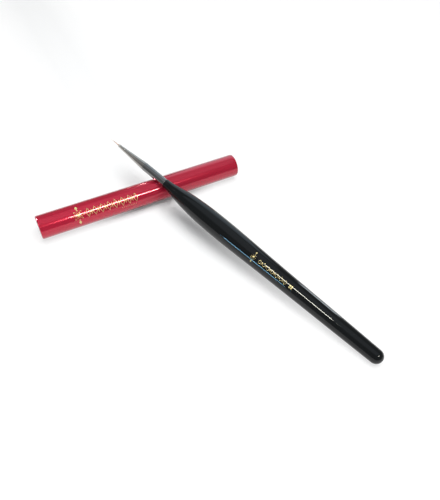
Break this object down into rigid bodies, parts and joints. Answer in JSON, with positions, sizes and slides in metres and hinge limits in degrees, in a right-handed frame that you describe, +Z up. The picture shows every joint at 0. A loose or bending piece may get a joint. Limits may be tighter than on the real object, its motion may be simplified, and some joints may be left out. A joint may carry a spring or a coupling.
{
  "type": "fine detail brush",
  "caption": "Fine liner brush with a swelling black lacquered handle and a long conical ferrule, lying across its slim red tubular slip-on cap.",
  "frame": {"origin": "middle of the whole object's box, on the floor that the cap and the handle's tail rest on", "axes": "+X along the cap towards its open mouth, +Y towards the side that the brush's tip points to, +Z up"},
  "size_m": [0.0974, 0.1472, 0.0156],
  "materials": {
    "handle_wood": "turned hardwood, sanded",
    "black_lacquer": "high gloss dipped lacquer",
    "nickel_plate": "drawn brass with bright nickel plate",
    "clear_resin": "set resin",
    "hair": "fine natural hair, golden brown",
    "thread": "waxed thread",
    "red_anodised": "raspberry red anodised, glossy",
    "gold_foil": "hot-stamped gold foil"
  },
  "bodies": {
    "cap": {"cap_tube": "red_anodised"},
    "brush": {"handle_core": "handle_wood", "handle_lacquer": "black_lacquer", "ferrule": "nickel_plate", "ferrule_glue": "clear_resin", "hair_root": "hair", "binding_thread": "thread", "setting_resin": "clear_resin"},
    "tuft": {"hair_tuft": "hair"}
  },
  "joints": [
    {"name": "brush_lift", "type": "slide", "parent": "cap", "child": "brush", "axis": [0, 0, 1], "range_m": [0, 0.04]},
    {"name": "hair_flex", "type": "hinge", "parent": "brush", "child": "tuft", "pos_m": [-0.00084, 0.06856, 0.01489], "axis": [0.9483, 0.3173, 0], "range_deg": [-30, 30], "stiffness_Nm_per_rad": 0.00005}
  ]
}
